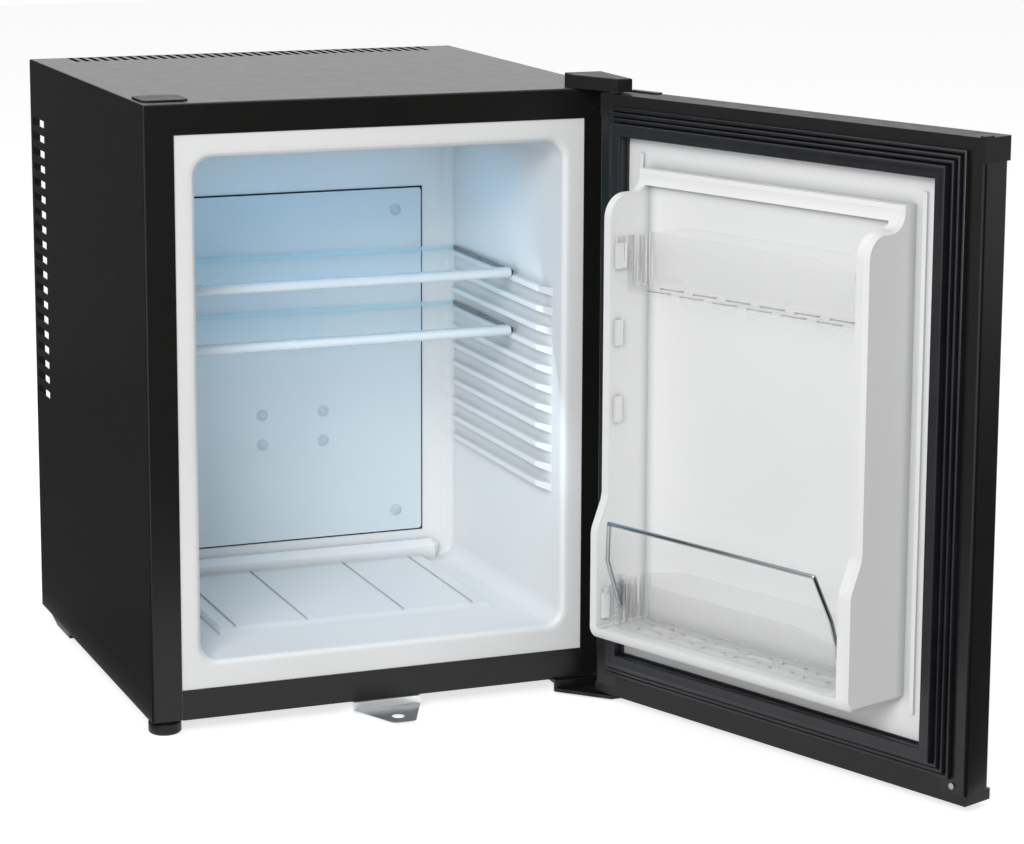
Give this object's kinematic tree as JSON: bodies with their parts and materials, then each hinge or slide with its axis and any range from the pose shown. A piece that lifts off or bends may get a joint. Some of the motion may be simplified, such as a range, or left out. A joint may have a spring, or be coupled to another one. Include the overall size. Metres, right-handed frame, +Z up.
{
  "type": "minibar fridge",
  "caption": "Compact thermoelectric minibar cabinet with a hinged insulated door, glass shelves on ribbed walls, lift-out door bins, a bottle bail, a keyed lock and a finned rear heat sink.",
  "frame": {"origin": "on the floor, under the middle of the cabinet's footprint", "axes": "+Z up; the open front faces -Y; +X towards the hinge side, to the right seen from the front"},
  "size_m": [0.5499, 0.7846, 0.526],
  "materials": {
    "black_steel": "satin",
    "zinc_steel": "satin",
    "black_zinc": "satin",
    "white_liner": "satin",
    "foam": "matte",
    "white_plate": "satin",
    "aluminium": "satin",
    "ceramic": "matte",
    "black_plastic": "satin",
    "board": "matte",
    "lamp": "frosted",
    "glass": "polished",
    "white_trim": "gloss",
    "gasket_rubber": "matte",
    "clear_plastic": "polished",
    "chrome": "polished",
    "bearing_plastic": "satin"
  },
  "bodies": {
    "cabinet": {"outer_shell": "black_steel", "bottom_panel": "black_steel", "back_panel": "zinc_steel", "cabinet_liner": "white_liner", "cabinet_insulation": "foam", "cooling_plate": "white_plate", "plate_fixings": "white_trim", "cold_block": "aluminium", "thermoelectric_module": "ceramic", "heat_sink": "aluminium", "control_box": "black_plastic", "control_cover": "black_plastic", "circuit_board": "board", "power_inlet": "black_plastic", "lamp_base": "white_trim", "lamp_lens": "lamp", "front_feet": "black_plastic", "rear_skids": "black_plastic", "top_hinge_arm": "zinc_steel", "top_hinge_pin": "zinc_steel", "hinge_cover": "black_plastic", "bottom_hinge_arm": "black_zinc", "bottom_hinge_pin": "zinc_steel", "hinge_screws": "zinc_steel", "hinge_blank": "black_plastic", "lock_striker": "chrome", "striker_screws": "zinc_steel"},
    "upper_shelf": {"upper_shelf_glass": "glass", "upper_shelf_trim": "white_trim"},
    "lower_shelf": {"lower_shelf_glass": "glass", "lower_shelf_trim": "white_trim"},
    "door": {"door_skin": "black_steel", "door_top_cap": "black_plastic", "door_bottom_cap": "black_plastic", "door_liner": "white_liner", "door_insulation": "foam", "door_gasket": "gasket_rubber", "top_hinge_bush": "bearing_plastic", "bottom_hinge_bush": "bearing_plastic", "lock_housing": "black_plastic", "cap_screw": "white_trim"},
    "upper_door_bin": {"upper_bin": "clear_plastic"},
    "lower_door_bin": {"lower_bin": "clear_plastic", "bottle_bail": "chrome"},
    "door_lock_barrel": {"lock_barrel": "chrome"},
    "door_lock_bolt": {"lock_bolt": "zinc_steel"}
  },
  "joints": [
    {"name": "door_swing", "type": "hinge", "parent": "cabinet", "child": "door", "pos_m": [0.193, -0.22, 0.26], "axis": [0, 0, 1], "range_deg": [-111, 24]},
    {"name": "upper_shelf_slide", "type": "slide", "parent": "cabinet", "child": "upper_shelf", "axis": [0, -1, 0], "range_m": [0, 0.045]},
    {"name": "lower_shelf_slide", "type": "slide", "parent": "cabinet", "child": "lower_shelf", "axis": [0, -1, 0], "range_m": [0, 0.045]},
    {"name": "upper_bin_lift", "type": "slide", "parent": "door", "child": "upper_door_bin", "axis": [0, 0, 1], "range_m": [0, 0.024]},
    {"name": "lower_bin_lift", "type": "slide", "parent": "door", "child": "lower_door_bin", "axis": [0, 0, 1], "range_m": [0, 0.024]},
    {"name": "lock_turn", "type": "hinge", "parent": "door", "child": "door_lock_barrel", "pos_m": [0.27524, -0.39516, 0.0505], "axis": [-0.9336, -0.3584, 0], "range_deg": [0, 90]},
    {"name": "lock_bolt_slide", "type": "slide", "parent": "door", "child": "door_lock_bolt", "axis": [0, 0, -1], "range_m": [0, 0.006]}
  ],
  "couplings": [
    {"joint": "lock_bolt_slide", "follows": "lock_turn", "m_per_rad": 0.0038197}
  ]
}
